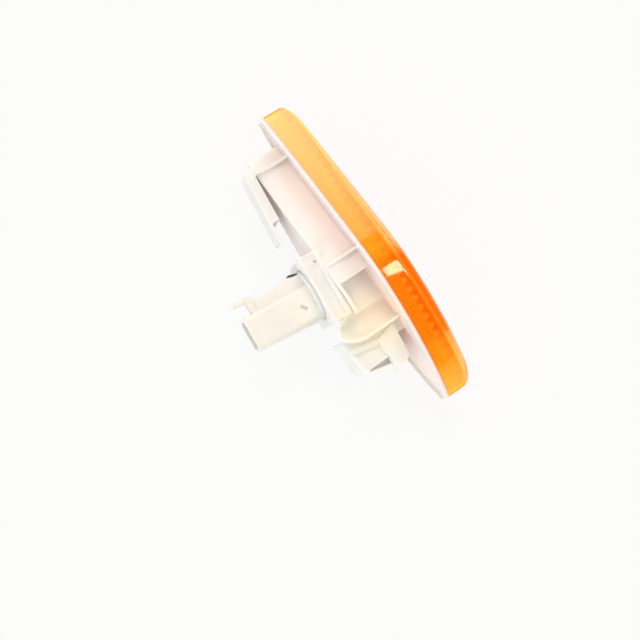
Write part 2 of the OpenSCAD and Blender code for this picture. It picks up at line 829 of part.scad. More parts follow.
module holder_outside() {
    drum(hub_radius, hub_start, flange_start + past);
    drum(holder_flange_radius, flange_start, flange_end);
    for (k = [0 : lug_count - 1])
        sector(
            bore_radius - turn_clearance,
            lug_pitch * k - lug_angle / 2,
            lug_pitch * k + lug_angle / 2,
            hub_start,
            lock_height - turn_clearance
        );
    // Connector shroud and its stem
    along_y(flange_end - past, shroud_end)
        rounded([shroud_hook_x, -shroud_half_z], [shroud_clip_x, shroud_half_z], shroud_corner);
    // Two tapering webs
    along_z(-web_half_z, web_half_z) {
        polygon([
            [shroud_hook_x + 1, flange_end - past],
            [-holder_flange_radius, flange_end - past],
            [shroud_hook_x, shroud_end - 1],
            [shroud_hook_x + 1, shroud_end - 1]
        ]);
        polygon([
            [shroud_clip_x - 1, flange_end - past],
            [holder_flange_radius - 0.9, flange_end - past],
            [shroud_clip_x + web_reach, web_top],
            [shroud_clip_x - 1, web_top]
        ]);
    }
    // Latch finger on its bridge
    along_z(-web_half_z + leaf_thickness, web_half_z - leaf_thickness)
        polygon([
            [shroud_clip_x - 1, web_top - 0.6],
            [finger_x + 0.3, web_top - 0.2],
            [finger_out_x - 0.4, web_top + 0.9],
            [finger_out_x, finger_end - 0.8],
            [finger_out_x - 0.8, finger_end],
            [finger_x, finger_end - 0.4],
            [finger_x, bridge_top + 0.2],
            [shroud_clip_x - 1, bridge_top]
        ]);
}

module holder_inside() {
    wedge_half = wedge_width / 2 + bulb_clearance;
    outer_z = contact_outer_z + contact_clearance;
    // Seat for the glass, slot for the wedge and the contacts
    drum(glass_radius + bulb_clearance, 0, seat_depth);
    block([-wedge_half, seat_depth - 1, -outer_z], [wedge_half, contact_cross, outer_z]);
    block(
        [shroud_x - blade_offset - blade_width / 2 - contact_clearance, contact_cross - past, -outer_z],
        [strip_out_x + contact_clearance, contact_cross_end + contact_clearance, outer_z]
    );
    blade_slot(shroud_x - blade_offset);
    blade_slot(shroud_x + blade_offset);
    // Connector socket
    along_y(socket_floor, shroud_end + 1)
        rounded(
            [shroud_hook_x + shroud_wall, -shroud_half_z + shroud_wall],
            [shroud_clip_x - shroud_wall, shroud_half_z - shroud_wall],
            shroud_corner - shroud_wall / 2
        );
    // Small slanted dent in the near face
    translate(dent_place)
        rotate([0, 0, dent_turn])
            block(-dent_half, dent_half);
    spring_leaf(contact_clearance);
}

module bulb_holder() {
    color(cream)
        in_collar()
            difference() {
                holder_outside();
                holder_inside();
            }
}

// Flat ring between the holder's flange and the lock ring
module holder_seal() {
    color(black)
        in_collar()
            difference() {
                drum(holder_flange_radius - seal_clearance, lock_top + seal_clearance, flange_start);
                drum(hub_radius + seal_clearance, lock_top, flange_start + past);
            }
}

// Steel leaf at the root of the holder, toward the clip end
leaf_root = 1.2;
leaf_lean = 0.8;
leaf_x = holder_flange_radius - 0.75;

module spring_leaf(extra) {
    inner_x = leaf_x - extra;
    outer_x = leaf_x + leaf_thickness + extra;
    along_z(-leaf_width / 2 - extra, leaf_width / 2 + extra)
        polygon([
            [inner_x, flange_end - leaf_root - extra],
            [outer_x, flange_end - leaf_root - extra],
            [outer_x, flange_end],
            [outer_x + leaf_lean, flange_end + leaf_length],
            [inner_x + leaf_lean, flange_end + leaf_length],
            [inner_x, flange_end]
        ]);
}

module detent_spring() {
    color(steel)
        in_collar()
            spring_leaf(0);
}

// Bulb, in the collar's frame: glass toward -Y, wedge toward +Y
glass_tip = seat_depth - glass_length;
glass_points = 8;
glass_shoulder = 1.5;
glass_inside_end = seat_depth - glass_shoulder;
filament_y = glass_tip + filament_depth;
wire_end = 0.5;
wire_fold = 4;
function glass_profile(radius, tip, end) = concat(
    [[0, tip]],
    [for (k = [1 : glass_points])
        let (a = 90 * k / glass_points)
        [radius * sin(a), tip + radius * (1 - cos(a))]],
    [[radius, end - glass_shoulder], [radius - glass_wall, end], [0, end]]
);

// Straight part of a lead wire, from the filament to the end of the wedge
module wire_straight(x) {
    translate([x, 0, 0])
        drum(wire_radius, filament_y - wire_end, seat_depth + wedge_length + wire_radius, small_fn);
}

// Part of a lead wire that is folded back over the wedge
module wire_folded(x) {
    top = seat_depth + wedge_length + wire_radius;
    side_z = sign(x) * (wedge_thickness / 2 + wire_radius);
    translate([x, 0, 0]) {
        for (z = [0, side_z])
            translate([0, top, z])
                sphere(r = wire_radius, $fn = small_fn);
        translate([0, top, min(0, side_z)])
            cylinder(r = wire_radius, h = abs(side_z), $fn = small_fn);
        translate([0, 0, side_z])
            drum(wire_radius, top - wire_fold, top, small_fn);
    }
}

module bulb_glass() {
    color(clear)
        in_collar()
            difference() {
                union() {
                    rotate([-90, 0, 0])
                        rotate_extrude($fn = round_fn)
                            polygon(glass_profile(glass_radius, glass_tip, seat_depth - 2 * past));
                    block(
                        [-wedge_width / 2, seat_depth - 0.4, -wedge_thickness / 2],
                        [wedge_width / 2, seat_depth + wedge_length, wedge_thickness / 2]
                    );
                }
                rotate([-90, 0, 0])
                    rotate_extrude($fn = round_fn)
                        polygon(glass_profile(
                            glass_radius - glass_wall,
                            glass_tip + glass_wall,
                            glass_inside_end
                        ));
                wire_straight(wire_x);
                wire_straight(-wire_x);
            }
}

module bulb_filament() {
    color(tungsten)
        in_collar()
            translate([wire_radius - wire_x, filament_y, 0])
                rotate([0, 90, 0])
                    cylinder(r = filament_radius, h = 2 * (wire_x - wire_radius), $fn = small_fn);
}

module bulb_wires() {
    color(steel)
        in_collar()
            for (x = [-wire_x, wire_x]) {
                wire_straight(x);
                wire_folded(x);
            }
}

// Contact drawn for the clip end: strip on the lead wire, crossing step and blade
module contact(way) {
    half_z = blade_thickness / 2;
    blade_x = way * shroud_x + blade_offset;
    blade_low = blade_x - blade_width / 2;
    blade_high = blade_x + blade_width / 2;
    block([strip_in_x, contact_start, contact_inner_z], [strip_out_x, contact_cross_end, contact_outer_z]);
    block(
        [min(blade_low, strip_in_x), contact_cross, -half_z],
        [max(blade_high, strip_out_x), contact_cross_end, contact_outer_z]
    );
    block([blade_low, contact_cross, -half_z], [blade_high, blade_end - blade_tip, half_z]);
    along_z(-half_z, half_z)
        polygon([
            [blade_low, blade_end - blade_tip - past],
            [blade_high, blade_end - blade_tip - past],
            [blade_high - blade_width / 4, blade_end],
            [blade_low + blade_width / 4, blade_end]
        ]);
}

module contact_clip_side() {
    color(brass)
        in_collar()
            contact(1);
}

module contact_hook_side() {
    color(brass)
        in_collar()
            rotate([0, 180, 0])
                contact(-1);
}

lens();
housing();
bulb_holder();
holder_seal();
detent_spring();
bulb_glass();
bulb_filament();
bulb_wires();
contact_clip_side();
contact_hook_side();
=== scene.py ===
from math import acos, atan2, cos, floor, hypot, pi, radians, sin, sqrt

import bmesh
import bpy
import numpy as np
from mathutils import Matrix, Vector


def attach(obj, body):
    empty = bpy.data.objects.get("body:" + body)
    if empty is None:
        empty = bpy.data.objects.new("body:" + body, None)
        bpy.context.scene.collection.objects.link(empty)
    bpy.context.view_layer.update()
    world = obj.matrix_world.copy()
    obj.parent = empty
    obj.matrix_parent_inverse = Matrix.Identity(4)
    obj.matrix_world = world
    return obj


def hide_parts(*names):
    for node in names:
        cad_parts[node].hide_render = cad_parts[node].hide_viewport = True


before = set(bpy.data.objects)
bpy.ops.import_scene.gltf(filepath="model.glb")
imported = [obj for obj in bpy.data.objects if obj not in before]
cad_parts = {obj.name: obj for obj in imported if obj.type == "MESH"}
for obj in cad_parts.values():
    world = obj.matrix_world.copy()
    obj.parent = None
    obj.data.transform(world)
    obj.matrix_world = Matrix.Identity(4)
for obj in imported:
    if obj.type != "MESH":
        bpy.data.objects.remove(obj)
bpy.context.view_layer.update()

# Lens
# One injection moulding in transparent amber acrylic, polished outside, with prism flutes inside its front
# wall. Its open rim is welded all round to the flange of the housing. Sizes are in millimetres.
MM = 0.001
lens_length = 124.0
lens_width = 33.2
crown_shift = 9.0
crown_radius = 60.0
flank_radius = 900.0
hook_tip_radius = 2.5
clip_tip_radius = 1.5
skirt_height = 7.8
skirt_rise = 1.6
rise_run = 55.0
lens_depth = 12.1
front_slope = 0.008
front_crown = 0.6
crown_core = 2.6
tip_drop = 2.4
tip_run = 9.0
crease_drop = 0.8 * tip_drop
bevel_inset = 3.0
crease_angle = radians(22)
front_angle = radians(86)
crease_fillet = 0.5
lens_wall = 2.0
flute_pitch = 3.7
flute_height = 0.9
flute_root = 0.05
flange_thickness = 1.3
skirt_stations = 220
bevel_steps = 14
fillet_steps = 4
crown_steps = 10
lens_edge_angle = radians(24)
point_gap = 1e-7

half_length = lens_length / 2
half_width = lens_width / 2
crown_x = -crown_shift
hook_tip_x = -half_length + hook_tip_radius
clip_tip_x = half_length - clip_tip_radius
hook_chord = (crown_x - hook_tip_x) ** 2 + half_width**2 - hook_tip_radius**2
hook_radius = hook_chord / (2 * (half_width - hook_tip_radius))
hook_center = (crown_x, half_width - hook_radius)
crown_center = (crown_x, half_width - crown_radius)
flank_gap = flank_radius - crown_radius
flank_reach = flank_radius - clip_tip_radius
tip_gap = (crown_center[0] - clip_tip_x, crown_center[1])
tip_reach = hypot(*tip_gap)
flank_share = (tip_reach**2 + flank_gap**2 - flank_reach**2) / (2 * flank_gap * tip_reach)
flank_angle = atan2(*tip_gap) + acos(flank_share)
flank_center = (
    crown_center[0] - flank_gap * sin(flank_angle),
    crown_center[1] - flank_gap * cos(flank_angle),
)
clip_tip_angle = atan2(clip_tip_x - flank_center[0], -flank_center[1])
hook_tip_angle = atan2(hook_tip_x - hook_center[0], -hook_center[1])


def arc_z(center, radius, x):
    """Z of a circle's upper side at x."""
    return center[1] + np.sqrt(np.maximum(0.0, radius**2 - (x - center[0]) ** 2))


def outline_z(x, inset):
    """Half width of the lens at x, once its outline of five tangent arcs has moved in by inset."""
    hook_arc = arc_z(hook_center, hook_radius - inset, x)
    crown_arc = arc_z(crown_center, crown_radius - inset, x)
    flank_arc = arc_z(flank_center, flank_radius - inset, x)
    flank_start = crown_x + (crown_radius - inset) * sin(flank_angle)
    z = np.where(x < crown_x, hook_arc, np.where(x > flank_start, flank_arc, crown_arc))
    if inset < clip_tip_radius:
        start = flank_center[0] + (flank_radius - inset) * sin(clip_tip_angle)
        z = np.where(x > start, arc_z((clip_tip_x, 0.0), clip_tip_radius - inset, x), z)
    if inset < hook_tip_radius:
        start = hook_tip_x + (hook_tip_radius - inset) * sin(hook_tip_angle)
        z = np.where(x < start, arc_z((hook_tip_x, 0.0), hook_tip_radius - inset, x), z)
    return z


def outline_ends(inset):
    """Both ends of the outline along X, once it has moved in by inset."""
    low, high = -half_length + inset, half_length - inset
    if inset >= hook_tip_radius:
        low = hook_center[0] - sqrt((hook_radius - inset) ** 2 - hook_center[1] ** 2)
    if inset >= clip_tip_radius:
        high = flank_center[0] + sqrt((flank_radius - inset) ** 2 - flank_center[1] ** 2)
    return low, high


def outline_loop(inset):
    """Points in X and Z once round the outline, from the hook end over +Z to the clip end and back."""
    low, high = outline_ends(inset)
    x = low + (high - low) * (1 - np.cos(pi * np.arange(skirt_stations + 1) / skirt_stations)) / 2
    z = outline_z(x, inset)
    z[0] = z[-1] = 0.0
    return np.concatenate([x, x[-2:0:-1]]), np.concatenate([z, -z[-2:0:-1]])


def tip_share(x):
    """How far the lens falls away toward its tips: 0 until the last stretch, 1 at the tip."""
    return (np.maximum(0, np.abs(x) - half_length + tip_run) / tip_run) ** 2


def crease_y(x):
    """Y of the crease between skirt and bevel."""
    rise = skirt_rise * np.minimum(1, np.abs(x - crown_x) / rise_run) ** 2
    return -flange_thickness - skirt_height - rise + crease_drop * tip_share(x)


def front_y(x):
    """Y of the outside of the front wall, before it is crowned."""
    return -flange_thickness - lens_depth + front_slope * x + tip_drop * tip_share(x)


def flute_y(x):
    """The inside of the front wall: a row of prisms that run across the lamp."""
    start = -(floor(lens_length / flute_pitch) + 1) * flute_pitch / 2
    phase = (x - start) / flute_pitch
    share = 1 - np.abs(2 * (phase - np.floor(phase)) - 1)
    return front_y(x) + lens_wall + flute_root + (flute_height - flute_root) * share


def crown_rings():
    """Rings that crown the front wall, from near its middle out to the bevel."""
    rings = []
    for k in range(crown_steps, 0, -1):
        share = k / crown_steps
        x, z = outline_loop(bevel_inset + (half_width - crown_core - bevel_inset) * share)
        rings.append(np.stack([x, front_y(x) - front_crown * (1 - (1 - share) ** 2), z], 1))
    return rings


def bevel_place(share, run):
    """How far in the rounded bevel has come, and what share of its height it has reached."""
    angle = crease_angle + (front_angle - crease_angle) * share
    inward = run * (cos(crease_angle) - cos(angle)) / (cos(crease_angle) - cos(front_angle))
    upward = (sin(angle) - sin(crease_angle)) / (sin(front_angle) - sin(crease_angle))
    return inward, upward


def bowl_rings(inset, run, lift, floor_y=None):
    """Rings of a bowl from front to rim: rounded bevel, small fillet at the crease, straight skirt."""
    rings = []

    def add(inward, upward, fillet=0.0):
        x, z = outline_loop(inset + inward)
        y = crease_y(x) + (front_y(x) + lift - crease_y(x)) * upward + fillet
        if floor_y is not None:
            y = np.maximum(y, floor_y(x))
        rings.append(np.stack([x, y, z], 1))

    for k in range(bevel_steps, 0, -1):
        add(*bevel_place(k / bevel_steps, run))
    first_in, first_up = bevel_place(1 / bevel_steps, run)
    for k in range(fillet_steps - 1, -1, -1):
        share = k / fillet_steps
        add(first_in * share**2, first_up * share**2, crease_fillet * (1 - share) ** 2)
    x, z = outline_loop(inset)
    rings.append(np.stack([x, np.full_like(x, -flange_thickness), z], 1))
    return rings


def add_skin(bm, rings, outward):
    """Faces over the rings and a cap on the first one. Gives back the points of the last ring."""
    count = 2 * skirt_stations
    rows = [[bm.verts.new(Vector(p) * MM) for p in ring] for ring in rings]

    def add_face(corners):
        bm.faces.new(corners if outward else corners[::-1])

    for front, rear in zip(rows, rows[1:]):
        for i in range(count):
            j = (i + 1) % count
            add_face([front[i], front[j], rear[j], rear[i]])
    cap = rows[0]
    add_face([cap[0], cap[count - 1], cap[1]])
    for i in range(1, skirt_stations - 1):
        add_face([cap[i], cap[count - i], cap[count - i - 1], cap[i + 1]])
    last = skirt_stations - 1
    add_face([cap[last], cap[count - last], cap[last + 1]])
    return rows[-1]


def lens_mesh():
    """Outer and inner skin joined at the open rim, with the map that the amber's tones follow."""
    bm = bmesh.new()
    outer_rings = crown_rings() + bowl_rings(0.0, bevel_inset, 0.0)
    inner_rings = bowl_rings(lens_wall, bevel_inset - lens_wall / 2, lens_wall, flute_y)
    outer_rim = add_skin(bm, outer_rings, True)
    inner_rim = add_skin(bm, inner_rings, False)
    count = 2 * skirt_stations
    for i in range(count):
        j = (i + 1) % count
        bm.faces.new([outer_rim[i], outer_rim[j], inner_rim[j], inner_rim[i]])
    bmesh.ops.remove_doubles(bm, verts=bm.verts, dist=point_gap)
    bmesh.ops.recalc_face_normals(bm, faces=bm.faces)
    mesh = bpy.data.meshes.new("amber_lens")
    bm.to_mesh(mesh)
    bm.free()
    mesh.polygons.foreach_set("use_smooth", [True] * len(mesh.polygons))
    mesh.set_sharp_from_angle(angle=lens_edge_angle)
    # The map counts prisms along the lamp and millimetres from the crease toward the rim
    places = np.array([mesh.vertices[loop.vertex_index].co for loop in mesh.loops]) / MM
    layer = mesh.uv_layers.new(name="prism_map")
    from_crease = places[:, 1] - crease_y(places[:, 0])
    layer.data.foreach_set("uv", np.stack([places[:, 0] / flute_pitch, from_crease], 1).ravel())
    return mesh


def add_node(tree, kind, inputs=None, **settings):
    """New node with its settings, and with values or links on its inputs."""
    made = tree.nodes.new(kind)
    for name, value in settings.items():
        setattr(made, name, value)
    for socket, value in (inputs or {}).items():
        if isinstance(value, bpy.types.NodeSocket):
            tree.links.new(value, made.inputs[socket])
        else:
            made.inputs[socket].default_value = value
    return made


def maths(tree, operation, *values, clamp=False):
    """Result of a Math node on numbers or sockets."""
    made = add_node(tree, "ShaderNodeMath", dict(enumerate(values)), operation=operation, use_clamp=clamp)
    return made.outputs["Value"]


def ramp(tree, value, low, high, start=0.0, end=1.0, kind="SMOOTHSTEP"):
    """Result that runs from start to end while a socket's value goes from low to high."""
    inputs = {"Value": value, "From Min": low, "From Max": high, "To Min": start, "To Max": end}
    return add_node(tree, "ShaderNodeMapRange", inputs, interpolation_type=kind).outputs["Result"]


def mixed(tree, factor, first, tone):
    """Colour that runs from the first one, a socket or a value, to a tone."""
    inputs = {"Factor": factor, "A": first, "B": (*tone, 1)}
    return add_node(tree, "ShaderNodeMix", inputs, data_type="RGBA").outputs["Result"]


def shader_group(name, inputs, outputs):
    """Shader node group with named inputs and outputs, and the sockets to wire them to."""
    group = bpy.data.node_groups.new(name, "ShaderNodeTree")
    for label, value in inputs.items():
        socket = group.interface.new_socket(label, in_out="INPUT", socket_type="NodeSocketFloat")
        socket.default_value = value
    for label in outputs:
        group.interface.new_socket(label, in_out="OUTPUT", socket_type="NodeSocketFloat")
    return group, group.nodes.new("NodeGroupInput").outputs, group.nodes.new("NodeGroupOutput").inputs


def surface_group():
    """Mottle and fine grain of a surface, for every material on the lamp. Scales are in cells per metre."""
    sizes = {"Mottle Scale": 60.0, "Grain Scale": 1800.0, "Flow": 1.0}
    group, given, results = shader_group("moulded surface", sizes, ("Mottle", "Grain"))
    place = add_node(group, "ShaderNodeTexCoord").outputs["Object"]
    # The mottle is drawn out along the lamp, the way the plastic flowed
    drawn_out = add_node(group, "ShaderNodeMapping", {"Vector": place, "Scale": (0.35, 1.0, 1.0)})
    mottle_inputs = {
        "Vector": drawn_out.outputs["Vector"],
        "Scale": given["Mottle Scale"],
        "Detail": 4,
        "Roughness": 0.6,
        "Distortion": given["Flow"],
    }
    mottle = add_node(group, "ShaderNodeTexNoise", mottle_inputs)
    grain_inputs = {"Vector": place, "Scale": given["Grain Scale"], "Detail": 3}
    grain = add_node(group, "ShaderNodeTexNoise", grain_inputs)
    group.links.new(mottle.outputs["Fac"], results["Mottle"])
    group.links.new(grain.outputs["Fac"], results["Grain"])
    return group


moulded_surface = surface_group()
grain_relief = 0.1
mottle_low, mottle_high = 0.3, 0.7


def moulded_material(name, dark, light, roughness, bump, settings, grain_scale=1800.0):
    """Principled surface that runs between two tones and two roughnesses, with fine grain in its normal."""
    material = bpy.data.materials.new(name)
    material.use_nodes = True
    tree = material.node_tree
    shader = tree.nodes["Principled BSDF"]
    surface = add_node(tree, "ShaderNodeGroup", node_tree=moulded_surface)
    surface.inputs["Grain Scale"].default_value = grain_scale
    mottle = surface.outputs["Mottle"]
    spread = ramp(tree, mottle, mottle_low, mottle_high, kind="LINEAR")
    gloss = ramp(tree, mottle, 0.0, 1.0, *roughness, kind="LINEAR")
    relief_inputs = {"Strength": bump, "Distance": grain_relief * MM, "Height": surface.outputs["Grain"]}
    relief = add_node(tree, "ShaderNodeBump", relief_inputs)
    tree.links.new(mixed(tree, spread, (*dark, 1), light), shader.inputs["Base Color"])
    tree.links.new(gloss, shader.inputs["Roughness"])
    tree.links.new(relief.outputs["Normal"], shader.inputs["Normal"])
    for socket, value in settings.items():
        shader.inputs[socket].default_value = value
    return material


amber_acrylic = moulded_material(
    "amber acrylic",
    dark=(1.0, 0.30, 0.004),
    light=(1.0, 0.34, 0.006),
    roughness=(0.03, 0.07),
    bump=0.02,
    settings={
        "Transmission Weight": 0.7,
        "IOR": 1.49,
        "Specular IOR Level": 1.0,
        # Painted glow: this emission makes the lens shine a little from within, though it is no lamp
        "Emission Color": (1.0, 0.18, 0.0, 1),
        "Emission Strength": 0.3,
    },
)

# Millimetres from the crease: toward the rim for the teeth and tongues, past the crease for line and bevel
tooth_band = 1.2
tooth_reach = 3.5
tooth_blur = 0.5
crease_blur = 0.3
reach_blur = 1.2
line_place = 0.65
line_width = 0.8
bevel_start = (0.2, 1.0)
# Shape of the teeth, shares of a prism's pitch and shares of a full turn to the front
tooth_power = 1.4
flute_crest = (0.25, 0.95)
front_turn = (0.8, 0.97)
# Prisms from the lamp's middle between which the painted pale reflection sets in, toward the clip and toward
# the hook
clip_side_pale = (-2.5, -0.2)
hook_side_step = (10.4, 11.4)
hook_side_fade = (11.0, 15.0)


def prism_group():
    """Masks for painted light and shade from the prism map: teeth and tongues under the crease, highlight
    line, bevel, flutes, pale and dark reflections.
    """
    sizes = {"Band": tooth_band, "Reach": tooth_reach, "Line Place": line_place, "Line Width": line_width}
    outputs = ("Ends", "Tongues", "Line", "Bevel", "Flutes", "Pale Reflection", "Near")
    group, given, masks = shader_group("prism ends", sizes, outputs)
    layer = add_node(group, "ShaderNodeUVMap", uv_map="prism_map")
    split = add_node(group, "ShaderNodeSeparateXYZ", {"Vector": layer.outputs["UV"]})
    along, from_crease = split.outputs["X"], split.outputs["Y"]
    past_crease = maths(group, "MULTIPLY", from_crease, -1.0)

    # Painted shade of pointed teeth, and painted light on the round tongues between them, on a band along the
    # crease
    doubled = maths(group, "MULTIPLY", maths(group, "FRACT", along), 2.0)
    wave = maths(group, "ABSOLUTE", maths(group, "SUBTRACT", doubled, 1.0))
    tooth_room = maths(group, "SUBTRACT", given["Reach"], given["Band"])
    tooth = maths(group, "MULTIPLY", tooth_room, maths(group, "POWER", wave, tooth_power))
    depth = maths(group, "ADD", given["Band"], tooth)
    under = maths(group, "DIVIDE", maths(group, "SUBTRACT", depth, from_crease), tooth_blur, clamp=True)
    on_skirt = maths(group, "DIVIDE", from_crease, crease_blur, clamp=True)
    group.links.new(maths(group, "MULTIPLY", under, on_skirt), masks["Ends"])
    beyond = maths(group, "DIVIDE", maths(group, "SUBTRACT", from_crease, depth), tooth_blur, clamp=True)
    room_left = maths(group, "SUBTRACT", given["Reach"], from_crease)
    within = maths(group, "DIVIDE", room_left, reach_blur, clamp=True)
    group.links.new(maths(group, "MULTIPLY", beyond, within), masks["Tongues"])

    # Painted highlight line just past the crease
    off_line = maths(group, "ABSOLUTE", maths(group, "ADD", from_crease, given["Line Place"]))
    off_share = maths(group, "DIVIDE", off_line, given["Line Width"])
    group.links.new(maths(group, "SUBTRACT", 1.0, off_share, clamp=True), masks["Line"])

    # Painted bevel tone, which ends where the surface turns into the front wall
    normal = add_node(group, "ShaderNodeTexCoord").outputs["Normal"]
    facing = add_node(group, "ShaderNodeSeparateXYZ", {"Vector": normal}).outputs["Y"]
    turned = ramp(group, maths(group, "MULTIPLY", facing, -1.0), *front_turn)
    sloping = maths(group, "SUBTRACT", 1.0, turned)
    group.links.new(maths(group, "MULTIPLY", ramp(group, past_crease, *bevel_start), sloping), masks["Bevel"])
    # Painted shade on the flute crests of the front wall
    group.links.new(maths(group, "MULTIPLY", turned, ramp(group, wave, *flute_crest)), masks["Flutes"])

    # Painted pale reflection toward both tips, and painted dark reflection between them, where the bulb
    # stands
    hook_way = maths(group, "MULTIPLY", along, -1.0)
    hook_step = ramp(group, hook_way, *hook_side_step)
    hook_fade = ramp(group, hook_way, *hook_side_fade)
    hook_side = maths(group, "MULTIPLY", maths(group, "ADD", hook_step, hook_fade), 0.5)
    away = maths(group, "MAXIMUM", ramp(group, along, *clip_side_pale), hook_side)
    group.links.new(away, masks["Pale Reflection"])
    group.links.new(maths(group, "SUBTRACT", 1.0, away), masks["Near"])
    return group


# Painted light and shade laid over the amber, each with its mask, the pale or dark reflection side that it is
# for, and its share
amber_painted_light = (
    ("Pale Reflection", None, (1.0, 0.52, 0.03), 0.9),
    ("Bevel", "Near", (1.0, 0.11, 0.002), 0.8),
    ("Bevel", "Pale Reflection", (1.0, 0.62, 0.34), 0.9),
    ("Ends", "Near", (1.0, 0.1, 0.001), 0.75),
    ("Ends", "Pale Reflection", (1.0, 0.33, 0.05), 0.65),
    ("Tongues", "Near", (1.0, 0.46, 0.01), 0.6),
    ("Line", "Near", (1.0, 0.64, 0.06), 0.6),
    ("Line", "Pale Reflection", (1.0, 0.84, 0.26), 0.95),
    ("Flutes", None, (1.0, 0.16, 0.002), 0.6),
)


def add_prism_tones(material, tones):
    """Lays each tone of painted light and shade over the material's colour, as far as its mask and its side
    reach.
    """
    tree = material.node_tree
    base = tree.nodes["Principled BSDF"].inputs["Base Color"]
    masks = add_node(tree, "ShaderNodeGroup", node_tree=prism_group()).outputs
    colour = base.links[0].from_socket
    for mask, side, tone, share in tones:
        factor = maths(tree, "MULTIPLY", masks[mask], share)
        if side:
            factor = maths(tree, "MULTIPLY", factor, masks[side])
        colour = mixed(tree, factor, colour, tone)
    tree.links.new(colour, base)


add_prism_tones(amber_acrylic, amber_painted_light)
lens = bpy.data.objects.new("amber_lens", lens_mesh())
bpy.context.scene.collection.objects.link(lens)
lens.data.materials.append(amber_acrylic)
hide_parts("lens")
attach(lens, "lamp_body")

# Housing
# Injection moulding in white ABS. Flange, chamber, gussets, hook, scoop, spring arm and collar are one piece.
# Its edges carry the small radius that the mould leaves.
moulded_radius = 0.14
moulded_segments = 2
bevelled_angle = radians(32)
flat_angle = radians(0.5)
copy_gap = 2e-6


def smoothed_copy(node, name, radius, material, body, sharp=28):
    """Copy of a CAD piece with its triangles merged, its flats rejoined and its hard edges rounded."""
    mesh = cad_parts[node].data.copy()
    mesh.name = name
    bm = bmesh.new()
    bm.from_mesh(mesh)
    bmesh.ops.remove_doubles(bm, verts=bm.verts, dist=copy_gap)
    bmesh.ops.dissolve_limit(bm, angle_limit=flat_angle, verts=bm.verts, edges=bm.edges)
    bm.to_mesh(mesh)
    bm.free()
    mesh.materials.clear()
    mesh.materials.append(material)
    mesh.polygons.foreach_set("use_smooth", [True] * len(mesh.polygons))
    mesh.set_sharp_from_angle(angle=radians(sharp))
    piece = bpy.data.objects.new(name, mesh)
    bpy.context.scene.collection.objects.link(piece)
    if radius:
        edge = piece.modifiers.new("edge radius", "BEVEL")
        edge.width = radius * MM
        edge.segments = moulded_segments
        edge.limit_method = "ANGLE"
        edge.angle_limit = bevelled_angle
        edge.use_clamp_overlap = True
        edge.harden_normals = True
    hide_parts(node)
    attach(piece, body)


white_abs = moulded_material(
    "white ABS",
    dark=(0.85, 0.84, 0.82),
    light=(0.89, 0.88, 0.86),
    roughness=(0.38, 0.5),
    bump=0.12,
    settings={
        "IOR": 1.53,
        "Subsurface Weight": 0.7,
        "Subsurface Scale": 0.003,
        "Subsurface Radius": (1.0, 0.9, 0.78),
    },
)


def add_painted_flange_shade(material, tone, rise, fade, glow, glow_place, glow_core, glow_reach, glow_share):
    """Painted shade, tinted by the amber, on the walls just behind the flange, and a painted warm glow of
    amber light in the pocket by the bulb.
    """
    tree = material.node_tree
    base = tree.nodes["Principled BSDF"].inputs["Base Color"]
    place = add_node(tree, "ShaderNodeTexCoord").outputs["Object"]
    height = add_node(tree, "ShaderNodeSeparateXYZ", {"Vector": place}).outputs["Y"]
    rising = ramp(tree, height, rise[0] * MM, rise[1] * MM, kind="LINEAR")
    fading = ramp(tree, height, fade[0] * MM, fade[1] * MM, start=1.0, end=0.0)
    shaded_near_flange = mixed(tree, maths(tree, "MULTIPLY", fading, rising), base.links[0].from_socket, tone)
    center = [c * MM for c in glow_place]
    away = add_node(tree, "ShaderNodeVectorMath", {0: place, 1: center}, operation="DISTANCE")
    nearby = ramp(tree, away.outputs["Value"], glow_core * MM, glow_reach * MM, start=glow_share, end=0.0)
    tree.links.new(mixed(tree, nearby, shaded_near_flange, glow), base)


# Painted shade under the flange and painted amber glow in the pocket, laid into the white ABS colour
add_painted_flange_shade(
    white_abs,
    tone=(0.74, 0.66, 0.615),
    rise=(0.1, 0.6),
    fade=(1.8, 10.8),
    glow=(0.93, 0.85, 0.68),
    glow_place=(-22.0, 9.0, 12.0),
    glow_core=5.95,
    glow_reach=17.0,
    glow_share=0.85,
)
smoothed_copy("housing", "white_housing", moulded_radius, white_abs, "lamp_body")

# Bulb holder
# Injection moulding in off-white nylon with locking lugs, connector shroud, two webs and the latch finger.
# It turns in the collar and is pushed out toward the back.
holder_nylon = moulded_material(
    "cream nylon",
    dark=(0.85, 0.825, 0.78),
    light=(0.89, 0.865, 0.82),
    roughness=(0.42, 0.55),
    bump=0.15,
    settings={
        "IOR": 1.53,
        "Subsurface Weight": 0.4,
        "Subsurface Scale": 0.003,
        "Subsurface Radius": (1.0, 0.75, 0.55),
    },
)
smoothed_copy("bulb_holder", "nylon_holder", moulded_radius, holder_nylon, "holder")

# Seal
# Flat ring punched from black rubber. It lies between the holder's flange and the lock ring,
# where the real one is squeezed.
seal_radius = 0.1
seal_rubber = moulded_material(
    "black rubber",
    dark=(0.018, 0.018, 0.018),
    light=(0.03, 0.03, 0.03),
    roughness=(0.6, 0.75),
    bump=0.3,
    settings={"IOR": 1.5},
    grain_scale=900.0,
)
smoothed_copy("holder_seal", "rubber_seal", seal_radius, seal_rubber, "holder")

# Detent spring
# Leaf of dark spring steel pressed into the holder's flange and bent outward over the collar.
# Its sheared edges are only slightly broken.
leaf_radius = 0.05
spring_steel = moulded_material(
    "dark spring steel",
    dark=(0.09, 0.085, 0.08),
    light=(0.13, 0.12, 0.11),
    roughness=(0.3, 0.45),
    bump=0.1,
    settings={"Metallic": 1.0},
    grain_scale=2500.0,
)
smoothed_copy("detent_spring", "steel_leaf", leaf_radius, spring_steel, "holder")

